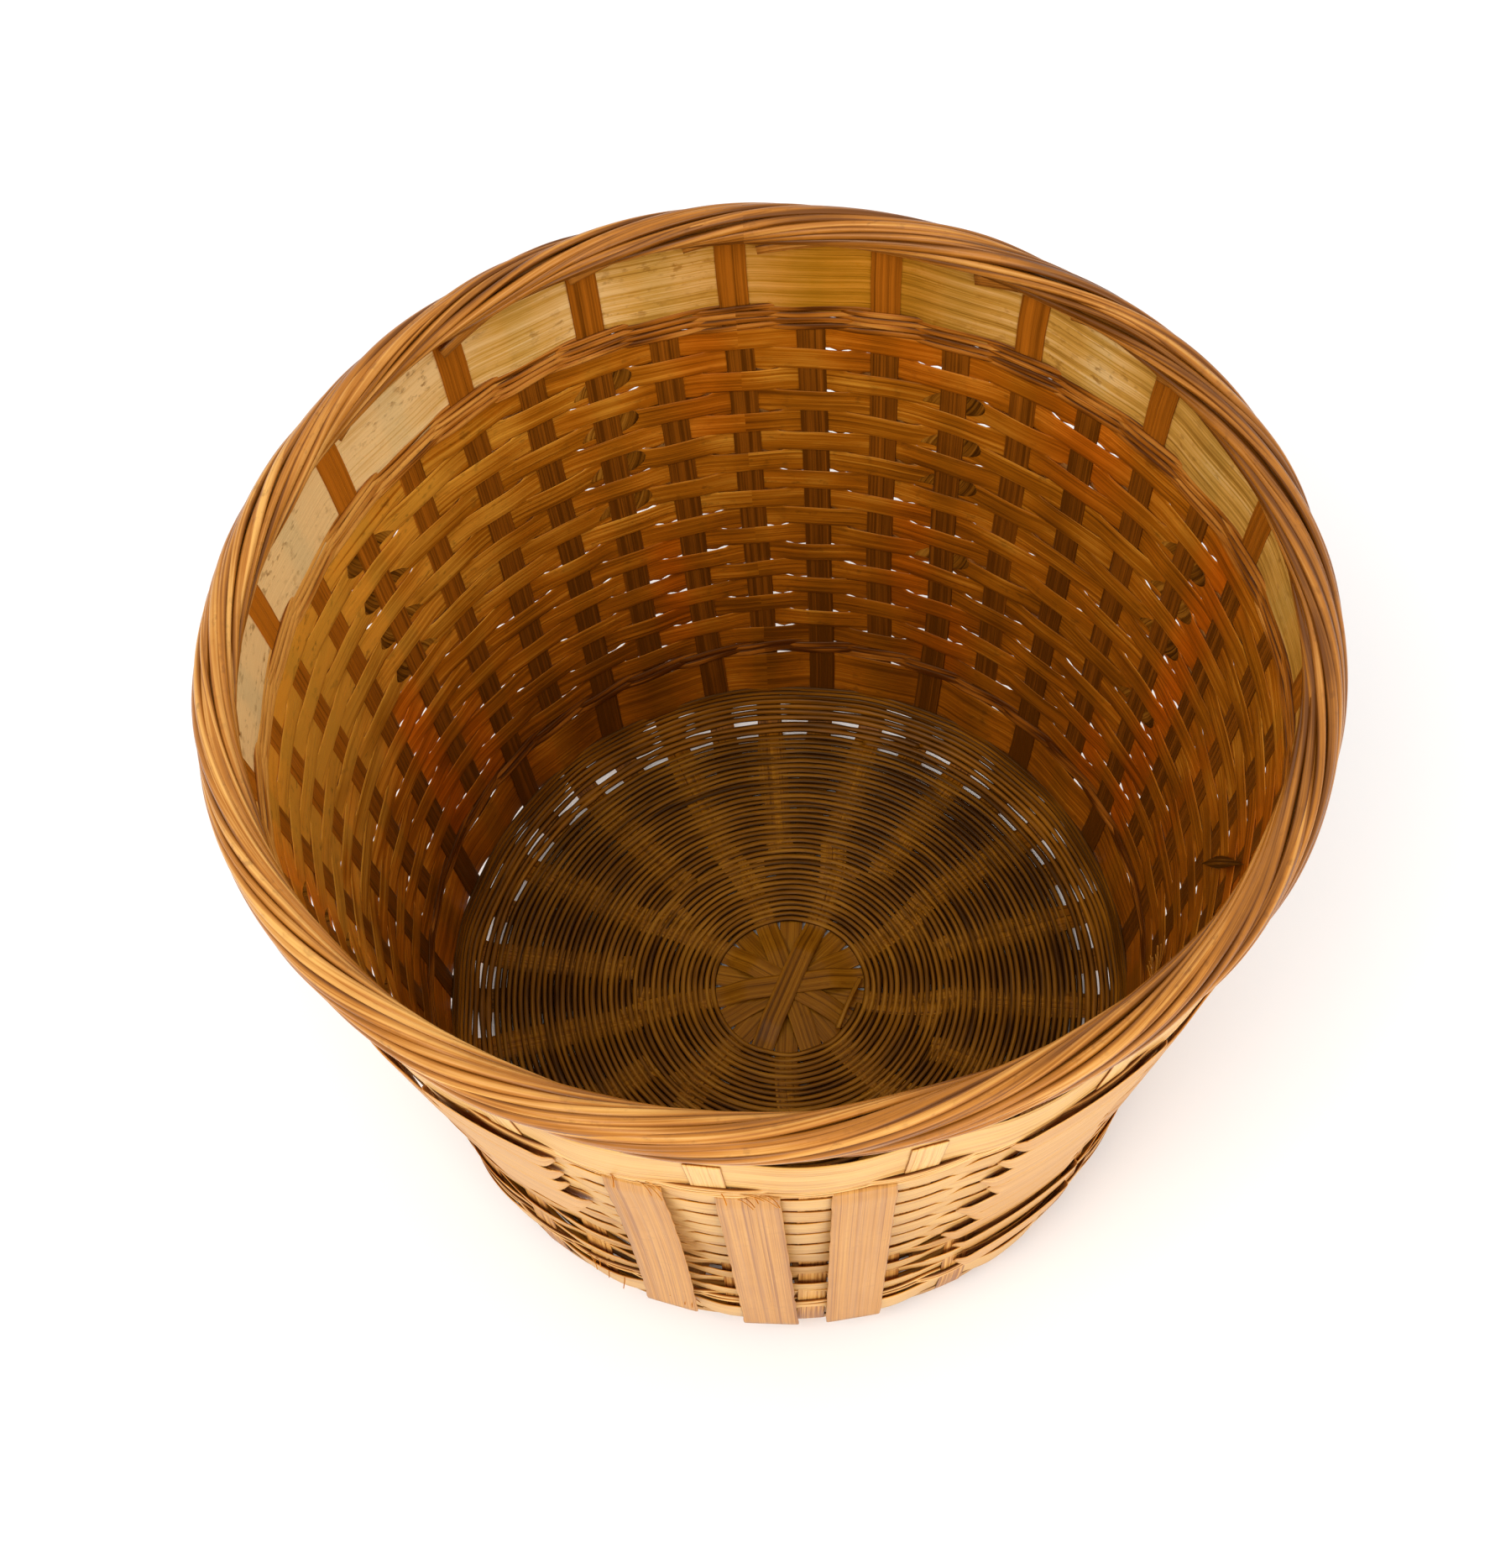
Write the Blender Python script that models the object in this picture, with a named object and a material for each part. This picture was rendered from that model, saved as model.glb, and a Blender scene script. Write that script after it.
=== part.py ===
"""Round woven splint basket with an open top, flaring walls and a rolled rim.

The origin is the centre of the underside, +Z is up and -Y is the front, where three upright
strips cover the weave. Angles start at the back (+Y) and grow towards +X. Sizes are metres.
"""
import math

import bmesh
import bpy
from mathutils import Vector

# Stakes: the upright splints. The even ones are the ends of the floor splints, and the odd
# ones are added between them, part of the way out across the floor.
STAKE_COUNT = 36
STAKE_THICKNESS = 0.0008
STAKE_TOP_WIDTH = 0.0084
STAKE_FOOT_WIDTH = 0.0075
STAKE_TOP_HEIGHT = 0.2008
STAKE_SHIFT = math.radians(-1.0)
STAKE_DRIFT = math.radians(3.5)
SIDE_STAKE_START = 0.0560
SIDE_STAKE_START_WIDTH = 0.0052

# Wall: a cone through the middle of the stakes.
WALL_FLARE = math.radians(11.1)
WALL_FOOT_RADIUS = 0.1093
WALL_FOOT_HEIGHT = 0.0150

# Floor splints: nine strips that cross at the centre, each at its own level.
FLOOR_SPLINT_COUNT = 9
FLOOR_SPLINT_THICKNESS = 0.0006
FLOOR_SPLINT_WIDTH = 0.0052
FLOOR_SPLINT_TURN = math.radians(5.0)
FLOOR_HEIGHT = 0.0020
CROSSING_RADIUS = 0.0152
CROSSING_EDGE = 0.0235
CROSSING_RISE = 0.0009
CROSSING_ORDER = (0, 5, 2, 7, 3, 8, 6, 4, 1)  # the splints' numbers, from the lowest up

# Floor weave: rows of fine reed, packed so close that each zone is one waved sheet.
REED_SHEET_THICKNESS = 0.0012
REED_SHEET_OFFSET = 0.0014
INNER_WEAVE_START = 0.0255
INNER_WEAVE_END = 0.0500
INNER_PLATEAU = math.radians(6.8)
OUTER_WEAVE_START = 0.0512
OUTER_PLATEAU = math.radians(3.3)
CORNER = ((0.0970, FLOOR_HEIGHT), (0.1028, 0.0034), (0.1070, 0.0077))
OUTER_WEAVE_END = (0.1088, 0.0135)

# Weavers: flat rings that pass inside one stake and outside the next.
WEAVER_COUNT = 17
WEAVER_THICKNESS = 0.0008
WEAVER_WIDTH = 0.0070
WEAVER_FIRST_HEIGHT = 0.0405
WEAVER_PITCH = 0.00776
WEAVER_OUTSIDE = 0.0026
WEAVER_INSIDE = -0.0016
BOTTOM_BAND_HEIGHT = 0.0240
BOTTOM_BAND_WIDTH = 0.0150
TOP_BAND_HEIGHT = 0.1883
TOP_BAND_WIDTH = 0.0236

# Twining: fine reed rows between the weavers and the two wide bands.
TWINING_THICKNESS = 0.0016
TWINING_OUTSIDE = 0.0032
TWINING_INSIDE = -0.0022
LOWER_TWINING_HEIGHT = 0.0340
LOWER_TWINING_WIDTH = 0.0036
UPPER_TWINING_HEIGHT = 0.1722
UPPER_TWINING_WIDTH = 0.0062

# Outside strips: four level overlay splints round the back and sides, and three at the front.
OVERLAY_HEIGHTS = (0.1085, 0.1235, 0.1385, 0.1535)
OVERLAY_WIDTH = 0.0134
OVERLAY_OFFSET = 0.0039
OVERLAY_FIRST_STAKE = -15
OVERLAY_LAST_STAKE = 16
FRONT_STRIP_ANGLES = (math.radians(173.5), math.radians(185.5), math.radians(197.5))
FRONT_STRIP_WIDTH = 0.0168
FRONT_STRIP_OFFSET = 0.0045
FRONT_STRIP_BOTTOM = 0.0020
FRONT_STRIP_TOP = 0.1680

# Rim: bundles of reed twisted round each other into one round roll.
RIM_RADIUS = 0.1443
RIM_HEIGHT = 0.2076
RIM_BUNDLE_COUNT = 3
RIM_BUNDLE_RADIUS = 0.0028
RIM_SPREAD = 0.0035
RIM_TURNS = 4
RIM_STEPS = 72
RIM_SIDES = 6

FLOOR_COLOUR = (0.15, 0.075, 0.010)
STAKE_COLOUR = (0.20, 0.065, 0.010)
WEAVER_COLOUR = (0.42, 0.17, 0.022)
BAND_COLOUR = (0.60, 0.38, 0.12)
RIM_COLOUR = (0.66, 0.36, 0.13)
OUTSIDE_COLOUR = (0.68, 0.40, 0.17)


def polar(angle, radius, height):
    """A point at this angle round the basket's axis."""
    return Vector((radius * math.sin(angle), radius * math.cos(angle), height))


def wall_point(angle, height, offset=0.0, climb=0.0):
    """A point on the wall, moved out along its normal by offset and up its slope by climb."""
    radius = WALL_FOOT_RADIUS + (height - WALL_FOOT_HEIGHT) * math.tan(WALL_FLARE)
    radius += offset * math.cos(WALL_FLARE) + climb * math.sin(WALL_FLARE)
    height += climb * math.cos(WALL_FLARE) - offset * math.sin(WALL_FLARE)
    return polar(angle, radius, height)


def stake_angle(index):
    """The angle of a stake: even steps, drawn a little towards the back as the maker set them."""
    step = 2.0 * math.pi * index / STAKE_COUNT
    return step + STAKE_SHIFT - STAKE_DRIFT * math.sin(step)


def spoke_angle(spoke, radius):
    """The angle of a floor splint's half, which turns from its straight middle to its stake."""
    middle = 2.0 * math.pi * spoke / (2 * FLOOR_SPLINT_COUNT) + FLOOR_SPLINT_TURN
    share = (radius - INNER_WEAVE_START) / (OUTER_WEAVE_START - INNER_WEAVE_START)
    share = min(1.0, max(0.0, share))
    return middle + (stake_angle(2 * spoke) - middle) * share


def add_solid(name, sections, closed, colour, roughness, smooth=False):
    """Join equal loops of points into one closed body and give it its own material."""
    mesh_builder = bmesh.new()
    loops = [[mesh_builder.verts.new(point) for point in section] for section in sections]
    following = loops[1:] + loops[:1] if closed else loops[1:]
    for loop, next_loop in zip(loops, following):
        for corner in range(len(loop)):
            other = (corner + 1) % len(loop)
            mesh_builder.faces.new((loop[corner], loop[other], next_loop[other], next_loop[corner]))
    if not closed:
        mesh_builder.faces.new(loops[0])
        mesh_builder.faces.new(loops[-1])
    bmesh.ops.recalc_face_normals(mesh_builder, faces=mesh_builder.faces)
    mesh = bpy.data.meshes.new(name)
    mesh_builder.to_mesh(mesh)
    mesh_builder.free()
    if smooth:
        mesh.shade_smooth()
    mesh.materials.append(make_material(name, colour, roughness))
    part = bpy.data.objects.new(name, mesh)
    bpy.context.scene.collection.objects.link(part)


def make_material(name, colour, roughness):
    material = bpy.data.materials.new(name)
    material.use_nodes = True
    shader = material.node_tree.nodes["Principled BSDF"]
    shader.inputs["Base Color"].default_value = (*colour, 1.0)
    shader.inputs["Roughness"].default_value = roughness
    shader.inputs["Metallic"].default_value = 0.0
    return material


def flat_strip_sections(path, normals, widths, thickness):
    """Box sections along a path, with the flat side facing each point's normal."""
    sections = []
    for place, point in enumerate(path):
        before = path[max(place - 1, 0)]
        after = path[min(place + 1, len(path) - 1)]
        side = (after - before).cross(normals[place]).normalized() * widths[place] / 2.0
        lift = normals[place] * thickness / 2.0
        sections.append([point - side - lift, point + side - lift, point + side + lift, point - side + lift])
    return sections


def inward_normals(profile):
    """Unit normals of a (radius, height) profile that runs outwards, on its upper, inner side."""
    normals = []
    for place in range(len(profile)):
        before = profile[max(place - 1, 0)]
        after = profile[min(place + 1, len(profile) - 1)]
        run = Vector((after[0] - before[0], after[1] - before[1])).normalized()
        normals.append(Vector((-run.y, run.x)))
    return normals


def stake_half(angle, start_radius, start_width):
    """Path, normals and widths of a stake from its start on the floor to its top."""
    foot = (WALL_FOOT_RADIUS, WALL_FOOT_HEIGHT)
    rise = STAKE_TOP_HEIGHT - WALL_FOOT_HEIGHT
    top = (WALL_FOOT_RADIUS + rise * math.tan(WALL_FLARE), STAKE_TOP_HEIGHT)
    profile = ((start_radius, FLOOR_HEIGHT), *CORNER, foot, top)
    path = [polar(angle, radius, height) for radius, height in profile]
    normals = [polar(angle, normal.x, normal.y) for normal in inward_normals(profile)]
    widths = [start_width] + [STAKE_FOOT_WIDTH] * (len(CORNER) + 1) + [STAKE_TOP_WIDTH]
    return path, normals, widths


def add_floor_splint(number):
    """One floor splint: up one wall, over the crossing at its own level, and up the other wall."""
    level = FLOOR_HEIGHT + CROSSING_ORDER.index(number) * CROSSING_RISE
    halves = []
    for spoke in (number, number + FLOOR_SPLINT_COUNT):
        middle = spoke_angle(spoke, 0.0)
        path = [polar(middle, CROSSING_RADIUS, level), polar(middle, CROSSING_EDGE, FLOOR_HEIGHT)]
        path.append(polar(middle, INNER_WEAVE_START, FLOOR_HEIGHT))
        outer, outer_normals, outer_widths = stake_half(
            stake_angle(2 * spoke), OUTER_WEAVE_START, SIDE_STAKE_START_WIDTH
        )
        normals = [Vector((0.0, 0.0, 1.0))] * len(path) + outer_normals
        widths = [FLOOR_SPLINT_WIDTH] * len(path) + outer_widths
        halves.append((path + outer, normals, widths))
    (path_a, normals_a, widths_a), (path_b, normals_b, widths_b) = halves
    path = path_a[::-1] + path_b
    normals = normals_a[::-1] + normals_b
    widths = widths_a[::-1] + widths_b
    sections = flat_strip_sections(path, normals, widths, FLOOR_SPLINT_THICKNESS)
    add_solid(f"floor_splint_{number + 1}", sections, False, FLOOR_COLOUR, 0.45)


def add_side_stake(number):
    """One added stake, which starts on the floor between two floor splints."""
    angle = stake_angle(2 * number + 1)
    path, normals, widths = stake_half(angle, SIDE_STAKE_START, SIDE_STAKE_START_WIDTH)
    sections = flat_strip_sections(path, normals, widths, STAKE_THICKNESS)
    add_solid(f"side_stake_{number + 1:02d}", sections, False, STAKE_COLOUR, 0.45)


def add_ring(name, height, width, thickness, offsets, colour, roughness):
    """A flat ring round the wall whose offset swaps between the two values at every stake."""
    sections = []
    for index in range(STAKE_COUNT):
        offset = offsets[index % 2]
        sections.append(band_section(stake_angle(index), height, width, thickness, offset))
    add_solid(name, sections, True, colour, roughness)


def band_section(angle, height, width, thickness, offset):
    """The four corners of a flat band that lies along the wall's slope."""
    inner = offset - thickness / 2.0
    outer = offset + thickness / 2.0
    corners = ((inner, -1), (outer, -1), (outer, 1), (inner, 1))
    return [wall_point(angle, height, across, side * width / 2.0) for across, side in corners]


def add_weavers():
    """The plain weave: the first row passes outside the odd stakes, the next outside the even."""
    for row in range(WEAVER_COUNT):
        height = WEAVER_FIRST_HEIGHT + row * WEAVER_PITCH
        offsets = (WEAVER_INSIDE, WEAVER_OUTSIDE) if row % 2 == 0 else (WEAVER_OUTSIDE, WEAVER_INSIDE)
        name = f"weaver_{row + 1:02d}"
        add_ring(name, height, WEAVER_WIDTH, WEAVER_THICKNESS, offsets, WEAVER_COLOUR, 0.4)


def add_bands():
    """The wide band near the floor and the pale one under the rim."""
    outside_odd = (WEAVER_INSIDE, WEAVER_OUTSIDE)
    outside_even = (WEAVER_OUTSIDE, WEAVER_INSIDE)
    for name, height, width, offsets, colour in (
        ("bottom_band", BOTTOM_BAND_HEIGHT, BOTTOM_BAND_WIDTH, outside_odd, WEAVER_COLOUR),
        ("top_band", TOP_BAND_HEIGHT, TOP_BAND_WIDTH, outside_even, BAND_COLOUR),
    ):
        add_ring(name, height, width, WEAVER_THICKNESS, offsets, colour, 0.4)


def add_twinings():
    """The fine reed rows under the weave and above it."""
    outside_even = (TWINING_OUTSIDE, TWINING_INSIDE)
    for name, height, width in (
        ("lower_twining", LOWER_TWINING_HEIGHT, LOWER_TWINING_WIDTH),
        ("upper_twining", UPPER_TWINING_HEIGHT, UPPER_TWINING_WIDTH),
    ):
        add_ring(name, height, width, TWINING_THICKNESS, outside_even, WEAVER_COLOUR, 0.5)


def weave_section(profile, angles, offset):
    """One station of a reed sheet: its lower side outwards, then its upper side back."""
    normals = inward_normals(profile)
    lower = []
    upper = []
    for (radius, height), normal, angle in zip(profile, normals, angles):
        for side, points in ((-1, lower), (1, upper)):
            reach = offset + side * REED_SHEET_THICKNESS / 2.0
            points.append(polar(angle, radius + normal.x * reach, height + normal.y * reach))
    return lower + upper[::-1]


def add_inner_floor_weave():
    """The rows round the crossing: over the even spokes and under the odd ones."""
    profile = ((INNER_WEAVE_START, FLOOR_HEIGHT), (INNER_WEAVE_END, FLOOR_HEIGHT))
    sections = []
    for spoke in range(2 * FLOOR_SPLINT_COUNT):
        offset = REED_SHEET_OFFSET if spoke % 2 == 0 else -REED_SHEET_OFFSET
        for side in (-INNER_PLATEAU, INNER_PLATEAU):
            angles = [spoke_angle(spoke, radius) + side for radius, _ in profile]
            sections.append(weave_section(profile, angles, offset))
    add_solid("inner_floor_weave", sections, True, FLOOR_COLOUR, 0.5)


def add_outer_floor_weave():
    """The rows out to the corner and up it: over the odd stakes and under the even ones."""
    profile = ((OUTER_WEAVE_START, FLOOR_HEIGHT), *CORNER, OUTER_WEAVE_END)
    sections = []
    for index in range(STAKE_COUNT):
        offset = -REED_SHEET_OFFSET if index % 2 == 0 else REED_SHEET_OFFSET
        for side in (-OUTER_PLATEAU, OUTER_PLATEAU):
            angles = [stake_angle(index) + side] * len(profile)
            sections.append(weave_section(profile, angles, offset))
    add_solid("outer_floor_weave", sections, True, FLOOR_COLOUR, 0.5)


def add_rim_bundle(number):
    """One bundle of the rim, which winds up its inner side and down its outer side."""
    phase = 2.0 * math.pi * number / RIM_BUNDLE_COUNT
    sections = []
    for step in range(RIM_STEPS):
        angle = 2.0 * math.pi * step / RIM_STEPS
        turn = phase + RIM_TURNS * angle
        radius = RIM_RADIUS + RIM_SPREAD * math.cos(turn)
        height = RIM_HEIGHT - RIM_SPREAD * math.sin(turn)
        section = []
        for side in range(RIM_SIDES):
            corner = 2.0 * math.pi * side / RIM_SIDES
            across = RIM_BUNDLE_RADIUS * math.cos(corner)
            section.append(polar(angle, radius + across, height + RIM_BUNDLE_RADIUS * math.sin(corner)))
        sections.append(section)
    add_solid(f"rim_bundle_{number + 1}", sections, True, RIM_COLOUR, 0.4, smooth=True)


def add_overlay_splint(number):
    """A wide splint that lies level over the weave, from one side of the front to the other."""
    sections = []
    for index in range(OVERLAY_FIRST_STAKE, OVERLAY_LAST_STAKE + 1):
        angle = stake_angle(index)
        height = OVERLAY_HEIGHTS[number]
        sections.append(band_section(angle, height, OVERLAY_WIDTH, WEAVER_THICKNESS, OVERLAY_OFFSET))
    add_solid(f"overlay_splint_{number + 1}", sections, False, OUTSIDE_COLOUR, 0.45)


def add_front_strip(number):
    """An upright strip over the front of the weave."""
    angle = FRONT_STRIP_ANGLES[number]
    path = [wall_point(angle, height, FRONT_STRIP_OFFSET) for height in (FRONT_STRIP_BOTTOM, FRONT_STRIP_TOP)]
    normals = [polar(angle, math.cos(WALL_FLARE), -math.sin(WALL_FLARE))] * 2
    sections = flat_strip_sections(path, normals, [FRONT_STRIP_WIDTH] * 2, WEAVER_THICKNESS)
    add_solid(f"front_strip_{number + 1}", sections, False, OUTSIDE_COLOUR, 0.45)


def build_basket():
    for number in range(FLOOR_SPLINT_COUNT):
        add_floor_splint(number)
    for number in range(STAKE_COUNT // 2):
        add_side_stake(number)
    add_inner_floor_weave()
    add_outer_floor_weave()
    add_bands()
    add_twinings()
    add_weavers()
    for number in range(len(OVERLAY_HEIGHTS)):
        add_overlay_splint(number)
    for number in range(len(FRONT_STRIP_ANGLES)):
        add_front_strip(number)
    for number in range(RIM_BUNDLE_COUNT):
        add_rim_bundle(number)


for existing in list(bpy.data.objects):
    bpy.data.objects.remove(existing, do_unlink=True)
build_basket()
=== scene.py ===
from math import cos, pi, radians, sin, sqrt, tan

import bpy
import numpy as np
from mathutils import Matrix, Vector


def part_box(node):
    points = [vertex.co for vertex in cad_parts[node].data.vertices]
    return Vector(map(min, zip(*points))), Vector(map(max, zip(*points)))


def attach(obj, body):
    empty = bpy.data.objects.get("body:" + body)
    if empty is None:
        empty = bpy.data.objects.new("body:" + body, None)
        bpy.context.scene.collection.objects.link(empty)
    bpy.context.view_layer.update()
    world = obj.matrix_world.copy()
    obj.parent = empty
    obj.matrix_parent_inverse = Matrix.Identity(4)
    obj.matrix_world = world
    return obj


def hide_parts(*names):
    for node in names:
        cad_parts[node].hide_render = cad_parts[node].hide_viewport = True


# A round woven splint basket. Angles start at the back (+Y) and grow towards +X, and sizes are
# metres. "Lift" is how far a strand stands from the stakes' middle line towards the basket's
# inside: up on the floor, inwards on the wall. A "stake place" counts stakes round the basket.
# Places in degrees are followed by how far they fade out on either side, also in degrees.

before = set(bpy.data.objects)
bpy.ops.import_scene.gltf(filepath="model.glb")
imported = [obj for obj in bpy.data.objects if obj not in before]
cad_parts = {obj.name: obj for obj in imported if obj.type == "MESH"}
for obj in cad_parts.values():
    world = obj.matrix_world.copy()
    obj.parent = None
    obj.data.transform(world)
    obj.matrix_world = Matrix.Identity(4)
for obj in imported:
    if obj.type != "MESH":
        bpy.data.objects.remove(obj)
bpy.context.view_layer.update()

MM = 0.001
STAKE_COUNT = 36
SPOKE_COUNT = 18
STAKE_STEP = 360 / STAKE_COUNT
SPOKE_STEP = 360 / SPOKE_COUNT
FRONT = 180

# The stakes' middle line: a flat floor, a round corner and a flaring wall.
WALL_FLARE = radians(11.1)
FLOOR_HEIGHT = 0.0020
FLOOR_EDGE = 0.0960
CORNER_RADIUS = 0.01306
CORNER_TURN = pi / 2 - WALL_FLARE
CORNER_END = FLOOR_EDGE + CORNER_RADIUS * CORNER_TURN
CORNER_TOP = FLOOR_HEIGHT + CORNER_RADIUS * (1 - cos(CORNER_TURN))
STAKE_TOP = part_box("side_stake_01")[1].z

# The foot of the wall has spread out round the front, between these distances from the centre.
FOOT_SPREAD = 7.4 * MM
FOOT_SPREAD_ANGLE = radians(186)
SPREAD_START = (0.080, 0.108)
SPREAD_END = (0.118, 0.180)

# How the stakes drift towards the back, at the foot of the wall and at its top, in degrees.
FOOT_SHIFT = 0.5
FOOT_DRIFT = 1.5
TOP_SHIFT = 1.7
TOP_DRIFT = 5
FOOT_BAND_HEIGHT = 0.0224
TOP_BAND_HEIGHT = 0.1870

# The stakes round this place lean a little further.
LEAN_PLACE = -4
LEAN_EXTRA = 1.6
LEAN_HALF = 18

# Splints on the floor: which lies lowest at the crossing, where they turn towards their stakes,
# and how far the reed raises or lowers them.
CROSSING_ORDER = (0, 5, 2, 7, 3, 8, 6, 4, 1)
CROSSING_TURN = 5
CROSSING_LAYER = 0.42 * MM
CROSSING_EDGE = (0.0125, 0.0235)
TURN_START = 0.022
TURN_LENGTH = 0.033
SPLINT_RAISED = 0.40
SPLINT_LOWERED = -0.30
FLOOR_THICKNESS = 0.32
WALL_THICKNESS = 0.46

# The fine reed of the floor: where its zones begin and end.
FLOOR_PITCH = 0.00197
INNER_REED = (0.0239, 0.0507)
OUTER_REED = (0.0507, 0.0963)
CORNER_REEDS = ((0.0972, 0.1012), (0.1019, 0.1166))
REED_START_TURN = 0.30
REED_THICKNESS = 1.10 * MM
SAMPLES_PER_SPOKE = 14
SAMPLES_PER_STAKE = 10
RING_SAMPLES = 16  # to a stake, in a row of the wall

# Rows of the wall.
WEAVER_COUNT = 17
WEAVER_FIRST_HEIGHT = 0.0405
WEAVER_PITCH = 0.00776
ROW_SAG = 2 * MM
TUCK_STAKES = (-15, -11, -6, -2, 3, 7, 12, 16)
TUCK_REACH = 0.43
OVERLAY_TUCK_ROWS = ((9, 6), (11, 10), (13, 12), (15, 14))  # at even and at odd tuck stakes
SMOOTH_PATCHES = ((138.5, 159.5, 0, 16), (207.5, 223, 8, 16))  # degrees, and rows
STRIP_TOP = 0.1700
FRONT_STRIPS = ((173.5, 0, 16.6, 0.0150), (185.5, 0, 16.4, 0.0145), (197.5, 1, 15.6, 0.0262))
FRAYED_PLACES = (
    (104, 0.050, 14, 16), (-150, 0.034, 7, 6), (-162, 0.034, 5, 5), (-173.5, 0.170, 9, 9),
    (-163, 0.171, 5, 8),
)  # middle in degrees, height, fibres, longest in millimetres

# Zones of the wall: degrees, between two heights in millimetres, and how much. Weavers are painted orange
# in the first, a painted glow of light shining through them, and let light through beside the stakes in the
# second, by so many millimetres.
GLOW_ZONES = (
    (-105, 5, 125, 165, 0.6), (-64, 5.5, 36, 102, 0.9), (-54, 4, 36, 70, 0.7), (-14.5, 4, 48, 88, 0.8),
    (-6, 6, 130, 172, 0.6), (23, 5, 60, 100, 0.7), (29.5, 5.5, 34, 64, 0.8), (20, 13, 155, 175, 0.55),
    (46, 8, 141, 165, 0.9), (61, 4.5, 34, 60, 0.9), (71.5, 4.5, 32, 165, 1), (84, 2.5, 60, 120, 0.5),
    (105, 8, 120, 165, 0.8),
)
OPEN_ZONES = (
    (-105, 7, 80, 165, 1.5), (-92, 5, 50, 95, 1.8), (-81, 4, 60, 150, 1.2), (-64, 6, 36, 165, 1.4),
    (-50, 5, 34, 80, 1.5), (-17, 6, 36, 80, 2.2), (-11, 3, 36, 165, 1.8), (0.5, 3, 36, 170, 2.2),
    (10, 3, 36, 170, 2.3), (20, 3, 36, 170, 2.1), (17, 8, 157, 172, 4.4), (29, 5, 36, 100, 2.4),
    (46, 9, 143, 162, 4), (61, 4, 34, 62, 2.8), (71, 5, 30, 170, 3.3), (97, 7, 50, 170, 2.6),
)
ZONE_FADE_OUTSIDE = 8 * MM
ZONE_FADE_INSIDE = 4 * MM

# Rim: a roll of twisted reeds over a core, looser where it is wide.
RIM_RADIUS = 0.1443
RIM_HEIGHT = 0.2076
RIM_TURNS = 4
RIM_BUNDLES = 3
RIM_REEDS = 5
RIM_REED_STEP = radians(24)
RIM_REED_REACH = 4.6
RIM_CORES = 3
RIM_CORE_STEP = radians(38)
RIM_CORE_REACH = 2.5 * MM
RIM_SAMPLES = 960
RIM_WIDE_PLACES = ((50, 28), (92, 22), (-75, 20), (-30, 12))
RIM_CUT_ENDS = (
    (-86, 22, 9), (-70, 16, 5), (-56, 18, 5), (-46, 22, 6), (-26, 30, 8), (-12, 22, 5), (1, 20, 4),
    (18, 40, 7), (40, 30, 7), (50, 24, 5), (62, 22, 6), (76, 18, 6), (110, 20, 6), (140, 18, 5),
    (-120, 22, 6),
)  # degrees, length and fall in millimetres

# Outlines of a strand's section, as (across, through) in half widths, anticlockwise.
FLAT_UPPER = ((1, 0.35), (0.95, 0.85), (0.7, 0.98), (0.25, 1))
FLAT_UPPER += tuple((-across, through) for across, through in FLAT_UPPER[::-1])
FLAT_SECTION = FLAT_UPPER + tuple((-across, -through) for across, through in FLAT_UPPER)
ROUND_SECTION, REED_SECTION = (
    tuple((cos(2 * pi * side / sides), sin(2 * pi * side / sides)) for side in range(sides))
    for sides in (12, 8)
)

# Colours of the unvarnished outside, and where they lie from shaded to light.
PEACH = ((0.36, 0.125, 0.020), (0.70, 0.330, 0.075), (0.88, 0.535, 0.180))
OUTSIDE_PLACES = (0, 0.28, 0.70)

# Camera.
LENS = 62.26
SENSOR_WIDTH = 36
CAMERA_PLACE = (0, -0.3951, 0.8004)
CAMERA_YAW = radians(-0.8732)
CAMERA_PITCH = radians(59.3386)
CAMERA_ROLL = radians(-4.1861)
STAGE_HALF = 6


# ------ places on the basket

def polar(angle, radius, height):
    """Points at these angles round the basket's axis."""
    return np.stack([radius * np.sin(angle), radius * np.cos(angle), height + 0 * angle], axis=-1)


def surface(angle, distance, lift):
    """Points and inward normals, by the distance along the stakes' line from the centre."""
    turn = np.clip((distance - FLOOR_EDGE) / CORNER_RADIUS, 0, CORNER_TURN)
    climb = np.maximum(distance - CORNER_END, 0)
    radius = np.minimum(distance, FLOOR_EDGE) + CORNER_RADIUS * np.sin(turn)
    radius = radius + climb * sin(WALL_FLARE) - lift * np.sin(turn) + foot_spread(angle, distance)
    height = FLOOR_HEIGHT + CORNER_RADIUS * (1 - np.cos(turn))
    height = height + climb * cos(WALL_FLARE) + lift * np.cos(turn)
    return polar(angle, radius, height), polar(angle, -np.sin(turn), np.cos(turn))


def straight_wall(angle, height, lift):
    """Points and inward normals on the wall's straight line, carried on down past the corner."""
    radius = FLOOR_EDGE + CORNER_RADIUS * sin(CORNER_TURN)
    radius = radius + (height - CORNER_TOP) * tan(WALL_FLARE) - lift * sin(CORNER_TURN)
    points = polar(angle, radius, height + lift * cos(CORNER_TURN))
    return points, polar(angle, -sin(CORNER_TURN), cos(CORNER_TURN))


def foot_spread(angle, distance):
    """How far the foot of the wall has spread out round the front."""
    reach = FOOT_SPREAD * smooth_step(np.cos(angle - FOOT_SPREAD_ANGLE), 0.05, 1)
    return reach * smooth_step(distance, *SPREAD_START) * (1 - smooth_step(distance, *SPREAD_END))


def wall_distance(height):
    """The distance along the stakes' line at this height of the wall."""
    return CORNER_END + (height - CORNER_TOP) / cos(WALL_FLARE)


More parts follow.
